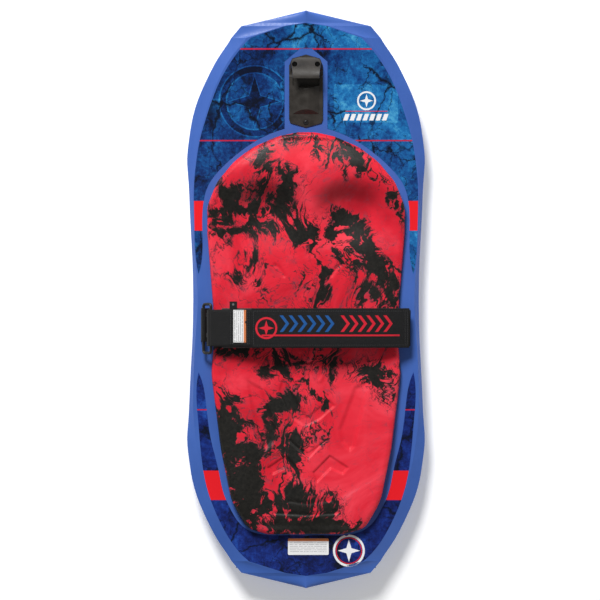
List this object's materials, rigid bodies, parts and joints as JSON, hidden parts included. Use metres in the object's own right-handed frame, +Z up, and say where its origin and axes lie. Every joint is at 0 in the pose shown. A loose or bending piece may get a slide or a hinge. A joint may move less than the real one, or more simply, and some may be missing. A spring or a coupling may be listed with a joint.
{
  "type": "kneeboard",
  "caption": "Towed kneeboard with raised knee pad, front tow hook and a padded hook-and-loop thigh strap looped through a side ring; flap peels open",
  "frame": {"origin": "on the plane of the flat bottom, under the middle of the board", "axes": "+X to the rider's right, +Y towards the nose, +Z up out of the deck"},
  "size_m": [0.567, 1.372, 0.1279],
  "materials": {
    "hull_shell": "gloss moulded polyethylene, royal blue",
    "deck_shell": "gloss moulded polyethylene, royal blue",
    "foam_core": "cream closed-cell foam",
    "knee_pad": "soft moulded foam, red marbled with black",
    "front_graphic": "printed film, cracked rock pattern in blue and cyan",
    "rear_graphic": "printed film, cracked rock pattern in dark blue",
    "care_label": "printed sticker, white with an orange band",
    "tow_hook_body": "textured moulded plastic, dark grey",
    "tow_hook_screws": "stainless steel",
    "tow_hook_inserts": "plain turned brass",
    "left_anchor_plate": "stainless steel",
    "right_anchor_plate": "stainless steel",
    "left_anchor_screws": "stainless steel",
    "right_anchor_screws": "stainless steel",
    "strap_inserts": "plain turned brass",
    "anchor_webbing": "woven webbing, black",
    "base_strap_webbing": "woven webbing, black",
    "base_strap_padding": "neoprene padding, black",
    "loop_tape": "loop side of a hook-and-loop tape, black",
    "strap_ring": "coated wire ring, black",
    "flap_webbing": "woven webbing, black",
    "hook_tape": "hook side of a hook-and-loop tape, black",
    "flap_padding": "foam padding, black",
    "flap_cover": "printed fabric, black with blue and red shapes",
    "flap_label": "woven label, white with an orange edge",
    "pull_tab": "folded webbing tab, black",
    "pull_tab_rivet": "bright metal rivet"
  },
  "bodies": {
    "board": {"hull_shell": "hull_shell", "deck_shell": "deck_shell", "foam_core": "foam_core", "knee_pad": "knee_pad", "front_graphic": "front_graphic", "rear_graphic": "rear_graphic", "care_label": "care_label", "tow_hook_body": "tow_hook_body", "tow_hook_screws": "tow_hook_screws", "tow_hook_inserts": "tow_hook_inserts", "left_anchor_plate": "left_anchor_plate", "right_anchor_plate": "right_anchor_plate", "left_anchor_screws": "left_anchor_screws", "right_anchor_screws": "right_anchor_screws", "strap_inserts": "strap_inserts", "anchor_webbing": "anchor_webbing", "base_strap_webbing": "base_strap_webbing", "base_strap_padding": "base_strap_padding", "loop_tape": "loop_tape"},
    "ring": {"strap_ring": "strap_ring"},
    "flap": {"flap_webbing": "flap_webbing", "hook_tape": "hook_tape", "flap_padding": "flap_padding", "flap_cover": "flap_cover", "flap_label": "flap_label", "pull_tab": "pull_tab", "pull_tab_rivet": "pull_tab_rivet"}
  },
  "joints": [
    {"name": "flap_peel", "type": "hinge", "parent": "board", "child": "flap", "pos_m": [-0.21622, -0.067, 0.10457], "axis": [0, -1, 0], "range_deg": [0, 165]},
    {"name": "ring_tilt", "type": "hinge", "parent": "board", "child": "ring", "pos_m": [-0.2435, -0.0685, 0.0785], "axis": [0, 1, 0], "range_deg": [-10, 10]}
  ]
}
